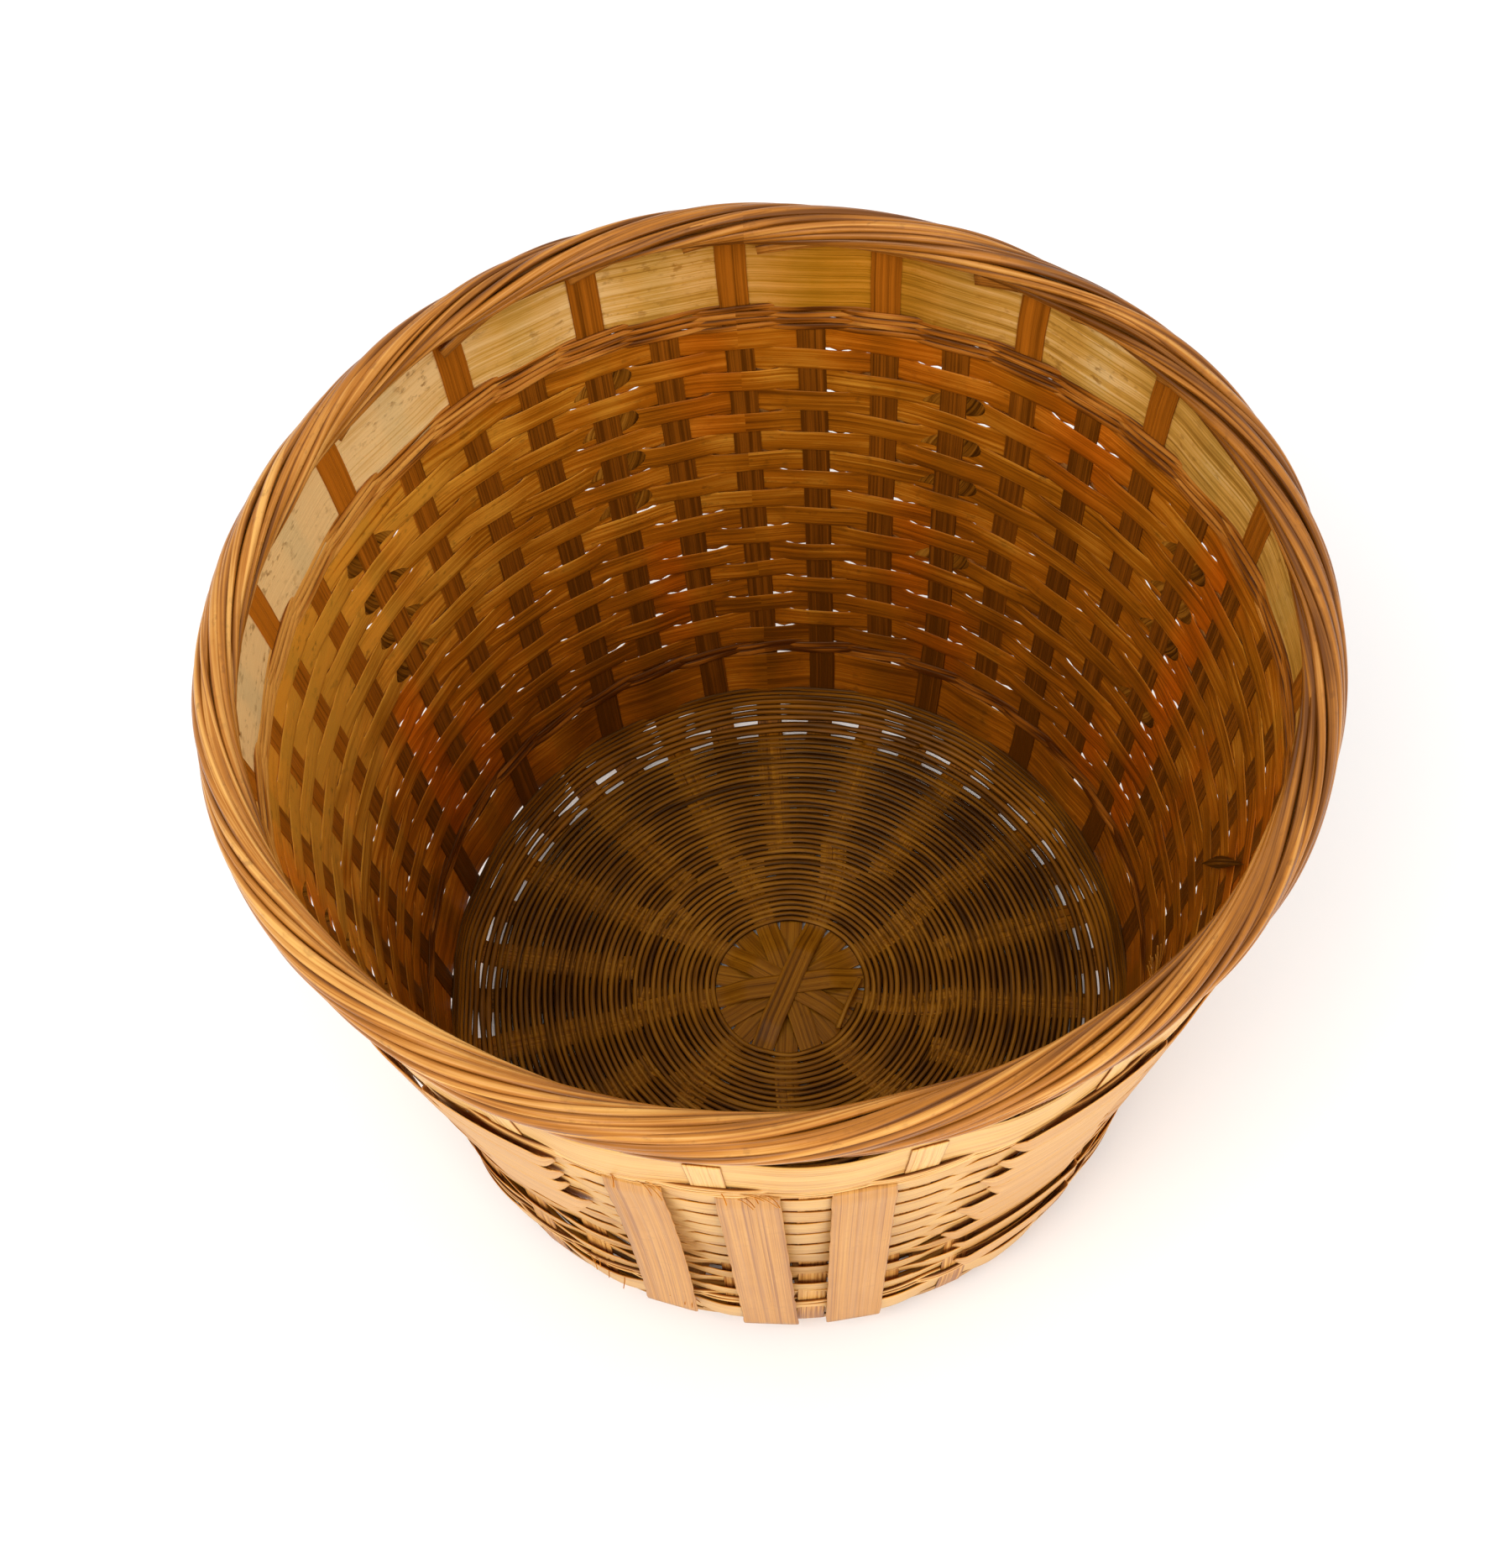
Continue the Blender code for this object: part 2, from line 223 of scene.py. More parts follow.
def stake_angle(place, height):
    """The angle of a stake place at a height: the stakes lean a little towards the back."""
    rise = TOP_BAND_HEIGHT - FOOT_BAND_HEIGHT
    share = np.clip((height - FOOT_BAND_HEIGHT) / rise, 0, 1)
    shift = FOOT_SHIFT + (TOP_SHIFT - FOOT_SHIFT) * share
    drift = FOOT_DRIFT + (TOP_DRIFT - FOOT_DRIFT) * share
    step = 2 * pi * place / STAKE_COUNT
    lean = LEAN_EXTRA * share * around(step, STAKE_STEP * LEAN_PLACE, LEAN_HALF)
    return step - np.radians(shift + drift * np.sin(step) - lean)


def smooth_step(value, low, high):
    """0 below low, 1 above high, and a smooth ramp between them."""
    share = np.clip((value - low) / (high - low), 0, 1)
    return share * share * (3 - 2 * share)


def around(angle, middle, half):
    """1 at an angle given in degrees, fading to 0 over about this many degrees either side."""
    degrees = (np.degrees(angle) - middle + 180) % 360 - 180
    return np.exp(-(degrees / half) ** 2)


def wander(random, fewest, most, size):
    """A closed random wave: a function of the angle with this many waves round the basket."""
    counts = np.arange(fewest, most + 1)
    sizes = random.normal(size=len(counts)) / sqrt(len(counts) / 2)
    phases = random.uniform(0, 2 * pi, len(counts))
    return lambda angle: size * (np.sin(np.multiply.outer(angle, counts) + phases) @ sizes)


SHARED_RANDOM = np.random.default_rng(4)
LOW_DRIFT = wander(SHARED_RANDOM, 2, 9, 0.55 * MM)
HIGH_DRIFT = wander(SHARED_RANDOM, 2, 9, 0.55 * MM)
LOW_BULGE = wander(SHARED_RANDOM, 2, 6, 0.35 * MM)
HIGH_BULGE = wander(SHARED_RANDOM, 2, 6, 0.35 * MM)


def drift(angle, height):
    """How far the rows near this height have slipped up, the same for rows close together."""
    share = smooth_step(height, 0.03, 0.17)
    return LOW_DRIFT(angle) * (1 - share) + HIGH_DRIFT(angle) * share


def bulge(angle, height):
    """How far the wall near this height leans in."""
    share = smooth_step(height, 0.03, 0.19)
    fade = smooth_step(height, 0.002, 0.05)
    return (LOW_BULGE(angle) * (1 - share) + HIGH_BULGE(angle) * share) * fade


# ------ strands and pieces

class Strands:
    """Splints and reeds that make up one piece, and the random draws that shape them."""

    def __init__(self, seed):
        self.random = np.random.default_rng(seed)
        self.points = []
        self.quads = []
        self.quad_uvs = []
        self.caps = []
        self.cap_uvs = []
        self.values = {"tone": [], "warmth": [], "outside": []}
        self.count = 0

    def add_on_wall(self, angle, height, lift, *sizes, **look):
        """Lay a strand at these heights of the wall."""
        points, normals = surface(angle, wall_distance(height), lift)
        self.add(points, normals, *sizes, **look)

    def add(self, path, normals, width, thickness, section=FLAT_SECTION, closed=False,
            tone=0.5, warmth=0, grain_turn=0, edge_dirt=0, edge_light=0):
        """Sweep a section along a path, with painted shade along both edges and a painted highlight on a
        ring's upper edge.
        """
        total = len(path)
        values = (width, thickness, tone, warmth)
        width, thickness, tone, warmth = (value + np.zeros(total) for value in values)
        if closed:
            tangents = np.roll(path, -1, axis=0) - np.roll(path, 1, axis=0)
        else:
            tangents = np.gradient(path, axis=0)
        tangents = tangents / np.linalg.norm(tangents, axis=1, keepdims=True)
        sides = np.cross(tangents, normals)
        sides = sides / np.linalg.norm(sides, axis=1, keepdims=True)
        normals = np.cross(sides, tangents)
        outline = np.array(section)
        across = outline[:, 0] * width[:, None] / 2
        through = outline[:, 1] * thickness[:, None] / 2
        points = path[:, None] + sides[:, None] * across[..., None] + normals[:, None] * through[..., None]

        corners = len(outline)
        rows = total if closed else total - 1
        row = np.arange(rows)[:, None]
        corner = np.arange(corners)
        next_row = (row + 1) % total
        next_corner = (corner + 1) % corners
        quads = np.stack([
            row * corners + corner, next_row * corners + corner,
            next_row * corners + next_corner, row * corners + next_corner,
        ], axis=-1).reshape(-1, 4)

        steps = np.linalg.norm(np.roll(path, -1, axis=0) - path, axis=1)
        along = self.random.uniform(0, 9) + np.concatenate([[0], np.cumsum(steps)])
        across = across + self.random.uniform(0, 3)
        quad_corners = ((row, row, corner), (row + 1, next_row, corner), (row + 1, next_row, next_corner),
                        (row, row, next_corner))
        uvs = [np.broadcast_arrays(along[place], across[ring, side]) for place, ring, side in quad_corners]
        uvs = np.stack([np.stack(uv, axis=-1) for uv in uvs], axis=-2).reshape(-1, 4, 2)
        if grain_turn:
            across_turn, along_turn = sin(grain_turn), cos(grain_turn)
            uvs = uvs @ np.array([[along_turn, across_turn], [-across_turn, along_turn]])

        self.quads.append(quads + self.count)
        self.quad_uvs.append(uvs)
        if not closed:
            for end, order in ((0, corner), (total - 1, corner[::-1])):
                self.caps.append(self.count + end * corners + order)
                self.cap_uvs.append(np.stack([np.full(corners, along[end]), across[end, order]], axis=-1))
        self.points.append(points.reshape(-1, 3))
        # Painted highlight on a ring's upper edge and painted shade along both edges, put into the tone.
        edges = edge_light * np.clip(-outline[:, 0], 0, 1) ** 6 - edge_dirt * np.abs(outline[:, 0]) ** 3
        self.values["tone"].append((tone[:, None] + edges).ravel())
        self.values["warmth"].append(np.repeat(warmth, corners))
        self.values["outside"].append(np.tile(np.clip(-2 * outline[:, 1] - 0.6, 0, 1), total))
        self.count += total * corners


def add_object(name, data):
    """A new object in the scene."""
    added = bpy.data.objects.new(name, data)
    bpy.context.scene.collection.objects.link(added)
    return added


def make_piece(name, strands, material, nodes):
    """Turn strands into one object that rides on the basket and stands for CAD nodes."""
    points = np.concatenate(strands.points)
    quads = np.concatenate(strands.quads)
    loops = np.concatenate([quads.ravel(), *strands.caps])
    uvs = np.concatenate([uv.reshape(-1, 2) for uv in strands.quad_uvs + strands.cap_uvs])
    sizes = [4] * len(quads) + [len(cap) for cap in strands.caps]
    mesh = bpy.data.meshes.new(name)
    mesh.vertices.add(len(points))
    mesh.vertices.foreach_set("co", points.ravel())
    mesh.loops.add(len(loops))
    mesh.loops.foreach_set("vertex_index", loops.astype(np.int32))
    mesh.polygons.add(len(sizes))
    starts = np.concatenate([[0], np.cumsum(sizes)[:-1]])
    mesh.polygons.foreach_set("loop_start", starts.astype(np.int32))
    layer = mesh.uv_layers.new(name="grain")
    layer.data.foreach_set("uv", uvs.ravel())
    for attribute_name, values in strands.values.items():
        attribute = mesh.attributes.new(attribute_name, "FLOAT", "POINT")
        attribute.data.foreach_set("value", np.concatenate(values).astype(np.float32))
    mesh.update(calc_edges=True)
    mesh.shade_smooth()
    mesh.materials.append(material)
    piece = add_object(name, mesh)
    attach(piece, "root")
    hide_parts(*nodes)


# ------ materials

def add_node(tree, kind, **values):
    """A node with values for its settings, or for its sockets where a name has spaces as _."""
    node = tree.nodes.new("ShaderNode" + kind)
    for name, value in values.items():
        socket = node.inputs.get(name.replace("_", " "))
        if socket is not None:
            socket.default_value = value
        else:
            setattr(node, name, value)
    return node


def stretched_noise(tree, uv, along, across, detail, seed):
    """Noise drawn out along the grain: so many features a metre along and across it."""
    place = (seed, seed * 0.7, 0)
    mapping = add_node(tree, "Mapping", Scale=(along, across, 1), Location=place)
    noise = add_node(
        tree, "TexNoise", noise_dimensions="2D", Scale=1, Detail=detail, Roughness=0.6)
    tree.links.new(uv.outputs["UV"], mapping.inputs["Vector"])
    tree.links.new(mapping.outputs["Vector"], noise.inputs["Vector"])
    return noise.outputs["Fac"]


def math_node(tree, operation, first, second, clamp=False):
    """A sum, difference or product of two numbers or sockets."""
    node = add_node(tree, "Math", operation=operation, use_clamp=clamp)
    for socket, value in zip(node.inputs, (first, second)):
        if isinstance(value, (int, float)):
            socket.default_value = value
        else:
            tree.links.new(value, socket)
    return node.outputs["Value"]


def centred(tree, noise, size):
    """Noise moved to lie about 0, at this size."""
    return math_node(tree, "MULTIPLY", math_node(tree, "SUBTRACT", noise, 0.5), size)


def strand_value(tree, name):
    """A value stored along the strands: their tone, their warmth or which face is outside."""
    return add_node(tree, "Attribute", attribute_name=name).outputs["Fac"]


def ramp(tree, factor, stops):
    """A colour ramp through (place, colour) stops."""
    node = add_node(tree, "ValToRGB")
    elements = node.color_ramp.elements
    while len(elements) < len(stops):
        elements.new(0.5)
    for element, (place, colour) in zip(elements, stops):
        element.position = place
        element.color = (*colour, 1)
    tree.links.new(factor, node.inputs["Fac"])
    return node.outputs["Color"]


def mix_colours(tree, factor, first, second):
    """A mix of two colours, each a tuple or a socket."""
    node = add_node(tree, "Mix", data_type="RGBA", blend_type="MIX")
    tree.links.new(factor, node.inputs[0])
    for socket, value in ((node.inputs[6], first), (node.inputs[7], second)):
        if isinstance(value, tuple):
            socket.default_value = (*value, 1)
        else:
            tree.links.new(value, socket)
    return node.outputs[2]


def grey(value):
    """A grey colour."""
    return (value, value, value)


def add_mottles(tree, uv, patches, colour, mottle, amount, spread):
    """Small dark spots, in patches; spread makes both larger."""
    spots = stretched_noise(tree, uv, 240, 420, detail=4, seed=13.9)
    stain = ramp(tree, spots, ((0.56 - spread, grey(0)), (0.70 - spread, grey(1))))
    stain_zone = ramp(tree, patches, ((0.40 - spread, grey(0)), (0.66 - spread, grey(1))))
    stain = math_node(tree, "MULTIPLY", math_node(tree, "MULTIPLY", stain, stain_zone), amount)
    return mix_colours(tree, stain, colour, mottle)


def add_warmth(tree, colour, shade, warm):
    """The warm colour, darker in the shaded fibres, where a strand is warm."""
    warm_dark = tuple(0.22 * channel for channel in warm)
    warm_colour = mix_colours(tree, shade, warm_dark, warm)
    amount = math_node(tree, "MULTIPLY", strand_value(tree, "warmth"), 0.9)
    return mix_colours(tree, amount, colour, warm_colour)


def varnished_surface(tree, colour, fine, streaks, groove, roughness, coat, gloss, sheen_colour, relief):
    """A thin varnish over fibres and grooves that stand in relief."""
    shader = add_node(tree, "BsdfPrincipled", Coat_Weight=coat, Coat_Roughness=0.28)
    shader.inputs["Specular IOR Level"].default_value = gloss
    shader.inputs["Specular Tint"].default_value = (*sheen_colour, 1)
    tree.links.new(colour, shader.inputs["Base Color"])
    rough = math_node(tree, "ADD", centred(tree, streaks, 0.35), roughness)
    tree.links.new(rough, shader.inputs["Roughness"])
    height = math_node(tree, "ADD", fine, math_node(tree, "MULTIPLY", streaks, 1.2))
    height = math_node(tree, "ADD", height, groove)
    bump = add_node(tree, "Bump", Strength=relief, Distance=0.00030)
    tree.links.new(height, bump.inputs["Height"])
    tree.links.new(bump.outputs["Normal"], shader.inputs["Normal"])
    return shader.outputs["BSDF"]


def wood_material(name, dark, middle, light, warm, mottle, mottle_amount=0.3, mottle_spread=0, grain=0.5,
                  grooves=0.2, fibres=1400, along=0.4, cloud=0.5, roughness=0.42, coat=0.1, gloss=0.3,
                  sheen_colour=(1, 0.62, 0.26), see_through=0.2, relief=0.5, outside=None):
    """Split wood: fibres and dark grooves along the strand, streaks, mottles and a thin varnish."""
    material = bpy.data.materials.new(name)
    material.use_nodes = True
    tree = material.node_tree
    tree.nodes.clear()
    uv = add_node(tree, "UVMap", uv_map="grain")
    fine = stretched_noise(tree, uv, 45 * along, fibres, detail=3, seed=1.7)
    streaks = stretched_noise(tree, uv, 14 * along, 0.34 * fibres, detail=3, seed=5.1)
    cracks = stretched_noise(tree, uv, 22 * along, 0.62 * fibres, detail=2, seed=21.3)
    patches = stretched_noise(tree, uv, 38, 95, detail=3, seed=9.3)
    groove = ramp(tree, cracks, ((0.30, grey(1)), (0.44, grey(0))))
    groove = math_node(tree, "MULTIPLY", groove, -grooves)

    lines = math_node(tree, "ADD", centred(tree, fine, 1.7 * grain), centred(tree, streaks, 1.7 * grain))
    marks = math_node(tree, "ADD", centred(tree, patches, cloud), groove)
    shade = math_node(tree, "ADD", strand_value(tree, "tone"), math_node(tree, "ADD", lines, marks), True)
    colour = ramp(tree, shade, ((0.08, dark), (0.5, middle), (0.95, light)))
    colour = add_mottles(tree, uv, patches, colour, mottle, mottle_amount, mottle_spread)
    colour = add_warmth(tree, colour, shade, warm)
    if outside:
        outside_colour = ramp(tree, shade, tuple(zip(OUTSIDE_PLACES, outside)))
        colour = mix_colours(tree, strand_value(tree, "outside"), colour, outside_colour)

    surface_shader = varnished_surface(
        tree, colour, fine, streaks, groove, roughness, coat, gloss, sheen_colour, relief)
    through = add_node(tree, "BsdfTranslucent")
    tree.links.new(colour, through.inputs["Color"])
    mix = add_node(tree, "MixShader", Fac=see_through)
    tree.links.new(surface_shader, mix.inputs[1])
    tree.links.new(through.outputs["BSDF"], mix.inputs[2])
    output = add_node(tree, "OutputMaterial")
    tree.links.new(mix.outputs["Shader"], output.inputs["Surface"])
    return material


def weaver_material():
    """Honey brown weavers, painted orange where a glow of light shining through them is painted on, and
    peach on the outside.
    """
    return wood_material(
        "weaver_wood", dark=(0.17, 0.046, 0.0015), middle=(0.44, 0.130, 0.0035), light=(0.78, 0.34, 0.030),
        warm=(0.80, 0.165, 0.002), mottle=(0.10, 0.035, 0.003), mottle_amount=0.5, grain=0.46, grooves=0.20,
        cloud=0.42, see_through=0.24, outside=PEACH)


def stake_material():
    """Upright splints with strong fibre lines: olive on the floor and red-brown on the wall."""
    return wood_material(
        "stake_wood", dark=(0.10, 0.032, 0.001), middle=(0.29, 0.105, 0.003), light=(0.49, 0.205, 0.011),
        warm=(0.52, 0.140, 0.007), mottle=(0.07, 0.02, 0.001), grain=0.50, grooves=0.30, fibres=1700,
        along=0.25, cloud=0.3, gloss=0.20, see_through=0.10, relief=0.8, outside=PEACH)


def band_material():
    """The pale, flat band under the rim, with brown mould flecks; golden where it is warm."""
    return wood_material(
        "pale_band_wood", dark=(0.36, 0.160, 0.018), middle=(0.68, 0.365, 0.065), light=(0.93, 0.64, 0.27),
        warm=(0.70, 0.265, 0.003), mottle=(0.30, 0.125, 0.018), mottle_amount=0.7, mottle_spread=0.01,
        grain=0.50, grooves=0.24, fibres=1300, along=0.3, cloud=0.45, gloss=0.2, coat=0.05,
        see_through=0.20, outside=PEACH)


def floor_material():
    """Olive brown reed of the floor, golden along its top; painted shade darkens its sides between the
    rows.
    """
    return wood_material(
        "floor_wood", dark=(0.040, 0.012, 0.0006), middle=(0.25, 0.093, 0.004), light=(0.48, 0.215, 0.018),
        warm=(0.50, 0.16, 0.006), mottle=(0.05, 0.02, 0.001), grain=0.35, grooves=0.1, along=1,
        gloss=0.22, see_through=0.06, outside=((0.20, 0.08, 0.015), (0.45, 0.21, 0.05), (0.62, 0.34, 0.11)))


def twined_material():
    """Fine reed of the twined rows."""
    return wood_material(
        "twined_reed", dark=(0.09, 0.020, 0.001), middle=(0.42, 0.125, 0.009), light=(0.76, 0.34, 0.06),
        warm=(0.55, 0.13, 0.004), mottle=(0.08, 0.03, 0.003), grain=0.4, grooves=0.25, see_through=0.10,
        outside=PEACH)


def rim_material():
    """Glossy split reed of the rim: honey brown, with painted light making it paler at the front and on the
    left.
    """
    return wood_material(
        "rim_reed", dark=(0.15, 0.042, 0.003), middle=(0.46, 0.160, 0.018), light=(0.82, 0.42, 0.105),
        warm=(0.60, 0.17, 0.01), mottle=(0.12, 0.035, 0.006), mottle_amount=0.4, grain=0.40, grooves=0.24,
        along=0.25, cloud=0.35, roughness=0.30, coat=0.22, gloss=0.38, sheen_colour=(1, 0.66, 0.36),
        see_through=0.08, relief=0.6)


def outside_material():
    """Pale peach splints on the outside, with long fine fibres."""
    return wood_material(
        "outside_splint", dark=(0.38, 0.140, 0.024), middle=(0.64, 0.295, 0.070), light=(0.84, 0.49, 0.165),
        warm=(0.70, 0.32, 0.08), mottle=(0.30, 0.12, 0.03), mottle_amount=0.2, grain=0.42, grooves=0.26,
        along=0.15, cloud=0.18, fibres=2100, roughness=0.45, see_through=0.12)


def tuck_material():
    """The dark backs of the outside splints where they fold round a stake."""
    return wood_material(
        "tucked_splint", dark=(0.060, 0.018, 0.001), middle=(0.25, 0.085, 0.005), light=(0.46, 0.20, 0.020),
        warm=(0.34, 0.10, 0.004), mottle=(0.05, 0.018, 0.001), grain=0.7, grooves=0.45, fibres=1500,
        see_through=0.10, relief=0.8, outside=PEACH)


# ------ floor

def floor_angle(spoke, distance, target):
    """A floor splint turns from its straight middle to the place of its stake."""
    middle = radians(SPOKE_STEP * spoke + CROSSING_TURN)
    share = np.clip((distance - TURN_START) / TURN_LENGTH, 0, 1) ** 1.8
    return middle + (target - middle) * share


def splint_width(distance):
    """Width of a stake from the centre of the floor to its top."""
    places = (0, 0.0235, 0.030, 0.050, 0.070, 0.088, 0.098, 0.170, 0.260, 0.310)
    widths = (7.4, 7.4, 7.4, 8.6, 9.4, 10.3, 8.4, 8.3, 8.6, 9.4)
    return np.interp(distance, places, widths) * MM


def splint_thickness(distance):
    """Splints are pressed a little thinner on the floor than on the wall."""
    return np.interp(distance, (0.090, 0.100), (FLOOR_THICKNESS, WALL_THICKNESS)) * MM


def pressed_by_reed(distance):
    """1 where the reed of the floor presses its rows into a splint."""
    return smooth_step(distance, 0.026, 0.030) * (1 - smooth_step(distance, 0.090, 0.096))


def reed_rows(angle, distance):
    """1 over the middle of each row of the floor's reed and -1 between the rows."""
    turns = (distance - INNER_REED[0]) / FLOOR_PITCH + REED_START_TURN
    return pressed_by_reed(distance) * np.cos(2 * pi * turns - angle)


def stake_path(place, spoke, start, random):
    """Half a floor splint, or an added stake: from its start on the floor to its top."""
    distance = np.concatenate([
        np.arange(start, FLOOR_EDGE, 0.25 * MM), np.linspace(FLOOR_EDGE, CORNER_END, 18),
        np.linspace(CORNER_END, wall_distance(STAKE_TOP), 90)[1:],
    ])
    height = surface(np.zeros(len(distance)), distance, 0)[0][:, 2]
    angle = floor_angle(spoke, distance, stake_angle(float(place), height))
    sway = wander(random, 1, 4, 0.35 * MM)(distance / 0.3 * 2 * pi)
    angle = angle + sway / np.maximum(distance, 0.03) * smooth_step(distance, 0.05, 0.12)
    lift = bulge(angle, height) + 0.15 * MM * reed_rows(angle, distance)
    past_inner = smooth_step(distance, 0.0495, 0.0520)
    inner = smooth_step(distance, 0.0235, 0.027) * (1 - past_inner)
    outer = past_inner * (1 - smooth_step(distance, 0.094, 0.099))
    inner_side = SPLINT_RAISED if spoke % 2 == 1 else SPLINT_LOWERED
    outer_side = SPLINT_RAISED if place % 2 == 0 else SPLINT_LOWERED
    return angle, distance, lift + (inner_side * inner + outer_side * outer) * MM


def splint_tone(angle, distance, random):
    """Painted light and shade on the splints: stripes over the ridges that the reed's rows press into them
    on the floor, darkest at the foot of the wall and dark up it where they sit back in the weave, and paler
    near the rim.
    """
    places = (0, 0.023, 0.03, 0.095, 0.105, 0.114, 0.138, 0.150, 0.268, 0.284, 0.310)
    tones = (0.64, 0.60, 0.54, 0.44, 0.32, 0.05, 0.06, 0.10, 0.22, 0.58, 0.62)
    # Painted shade: darker from the floor's middle to the foot of the wall and up it, paler beside the top
    # band.
    tone = np.interp(distance, places, tones)
    # Painted light and shade over the ridges of the reed's rows.
    tone = tone + 0.20 * reed_rows(angle, distance)
    on_wall = smooth_step(distance, 0.110, 0.150)
    height = CORNER_TOP + (distance - CORNER_END) * cos(WALL_FLARE)
    # Painted light and shade by side on the wall, and painted shade on the floor towards the right.
    tone = tone + on_wall * painted_side_light(angle, height) - 0.10 * (1 - on_wall) * around(angle, 70, 50)
    return tone + random.uniform(-0.05, 0.05)


def splint_warmth(distance):
    """Splints are olive on the floor and red-brown up the wall."""
    return np.interp(distance, (0.085, 0.115), (0, 1))


def add_floor_splint(number, material):
    """One splint: up one wall, across the floor under or over the others, and up the other wall."""
    strands = Strands(100 + number)
    level = CROSSING_ORDER.index(number)
    halves = []
    for spoke in (number, number + SPOKE_COUNT // 2):
        angle, distance, lift = stake_path(2 * spoke, spoke, 0.0015, strands.random)
        lift = lift + CROSSING_LAYER * level * (1 - smooth_step(distance, *CROSSING_EDGE))
        points, normals = surface(angle, distance, lift)
        shade = splint_tone(angle, distance, strands.random)
        halves.append((points, normals, splint_width(distance), shade, splint_warmth(distance)))
    path, normals, widths, shades, warmths = (
        np.concatenate([first[::-1], second]) for first, second in zip(*halves)
    )
    thickness = splint_thickness(np.linalg.norm(path[:, :2], axis=1))
    strands.add(path, normals, widths, thickness, tone=shades, warmth=warmths, edge_dirt=0.06)
    make_piece(f"splint_{number + 1}", strands, material, [f"floor_splint_{number + 1}"])


def add_side_stake(number, material):
    """An added stake, whose foot lies beside a floor splint under the fine reed."""
    strands = Strands(200 + number)
    angle, distance, lift = stake_path(2 * number + 1, number, 0.0240, strands.random)
    lift = lift - 0.45 * MM * (1 - smooth_step(distance, 0.030, 0.050))
    points, normals = surface(angle, distance, lift)
    strands.add(points, normals, splint_width(distance), splint_thickness(distance),
                tone=splint_tone(angle, distance, strands.random), warmth=splint_warmth(distance),
                edge_dirt=0.06)
    make_piece(f"stake_{number + 1:02d}", strands, material, [f"side_stake_{number + 1:02d}"])


def stake_place_at(angle):
    """The stake place at an angle near the wall's foot: the inverse of stake_angle."""
    place = np.degrees(angle) / STAKE_STEP
    for _ in range(4):
        error = angle - stake_angle(place, FOOT_BAND_HEIGHT)
        place = place + np.degrees(error) / STAKE_STEP
    return place


def reed_spiral(strands, ends, first, on_spokes, width):
    """One reed that winds out over every second spoke or stake; gives where its last turn ends."""
    start, end = ends
    turns = (end - start) / FLOOR_PITCH
    random = strands.random
    per_turn = SPOKE_COUNT * SAMPLES_PER_SPOKE if on_spokes else STAKE_COUNT * SAMPLES_PER_STAKE
    place = np.linspace(0, turns, int(turns * per_turn))
    angle = 2 * pi * (place + first)
    distance = start + (end - start) * place / turns
    jitter = wander(random, 3, 40, 0.07 * MM)
    slow = wander(random, 1, 5, 0.10 * MM)
    corner = smooth_step(distance, FLOOR_EDGE - 1 * MM, FLOOR_EDGE + 3 * MM)
    distance = distance + jitter(angle * 0.37) + slow(angle)
    distance = distance + corner * wander(random, 5, 16, 0.22 * MM)(angle)
    spoke = (np.degrees(angle) - CROSSING_TURN) / SPOKE_STEP if on_spokes else stake_place_at(angle)
    wave = np.cos(pi * spoke) * (1 if on_spokes else -1)
    wave = wave * (1.25 - 0.25 * wave * wave)
    lift = (0.40 + 0.20 * wave + 0.18 * corner) * MM + wander(random, 9, 60, 0.05 * MM)(angle * 0.61)
    points, normals = surface(angle, distance, lift)
    # Painted shade: the reed is darker towards the wall and towards the right.
    tone = np.interp(distance, (0.025, 0.050, 0.096, 0.108), (0.73, 0.65, 0.53, 0.56))
    tone = tone + wander(random, 1, 25, 0.08)(angle * 0.23) - 0.08 * wave - 0.12 * around(angle, 75, 50)
    uneven = wander(random, 14, 60, 0.09)(angle) + 0.40 * around(angle, FRONT, 60)
    girth = width * (1 + 0.08 * wander(random, 2, 30, 0.6)(angle * 0.43) + corner * uneven)
    # Strong painted shade along the reed's sides, in the gaps between its rows.
    strands.add(points, normals, girth, REED_THICKNESS, REED_SECTION, tone=tone, warmth=0.5 * corner,
                edge_dirt=0.90)
    return (first + turns) % 1


def add_loose_reed_end(strands):
    """The reed's first end, which lies loose over the edge of the crossing."""
    share = np.linspace(0, 1, 24)
    start = np.array([0.0150, -0.0165])
    end = np.array([0.0235, 0.0010])
    flat = start + (end - start) * share[:, None]
    angle = np.arctan2(flat[:, 0], flat[:, 1])
    points, normals = surface(angle, np.linalg.norm(flat, axis=1), (1.7 + 1.4 * np.sin(pi * share)) * MM)
    strands.add(points, normals, 1.7 * MM, 1.1 * MM, ROUND_SECTION, tone=0.75, edge_dirt=0.3)


def add_floor_weave(material):
    """The reed of the floor, in one piece over single spokes and one over all the stakes."""
    strands = Strands(31)
    turn = reed_spiral(strands, INNER_REED, REED_START_TURN, True, 1.98 * MM)
    add_loose_reed_end(strands)
    make_piece("inner_floor_reed", strands, material, ["inner_floor_weave"])
    strands = Strands(32)
    turn = reed_spiral(strands, OUTER_REED, turn, False, 1.98 * MM)
    for ends in CORNER_REEDS:
        turn = reed_spiral(strands, ends, turn, False, 2 * MM)
    make_piece("outer_floor_reed", strands, material, ["outer_floor_weave"])


# ------ wall

def ring_places():
    """Places all the way round the basket."""
    return np.arange(STAKE_COUNT * RING_SAMPLES) / RING_SAMPLES


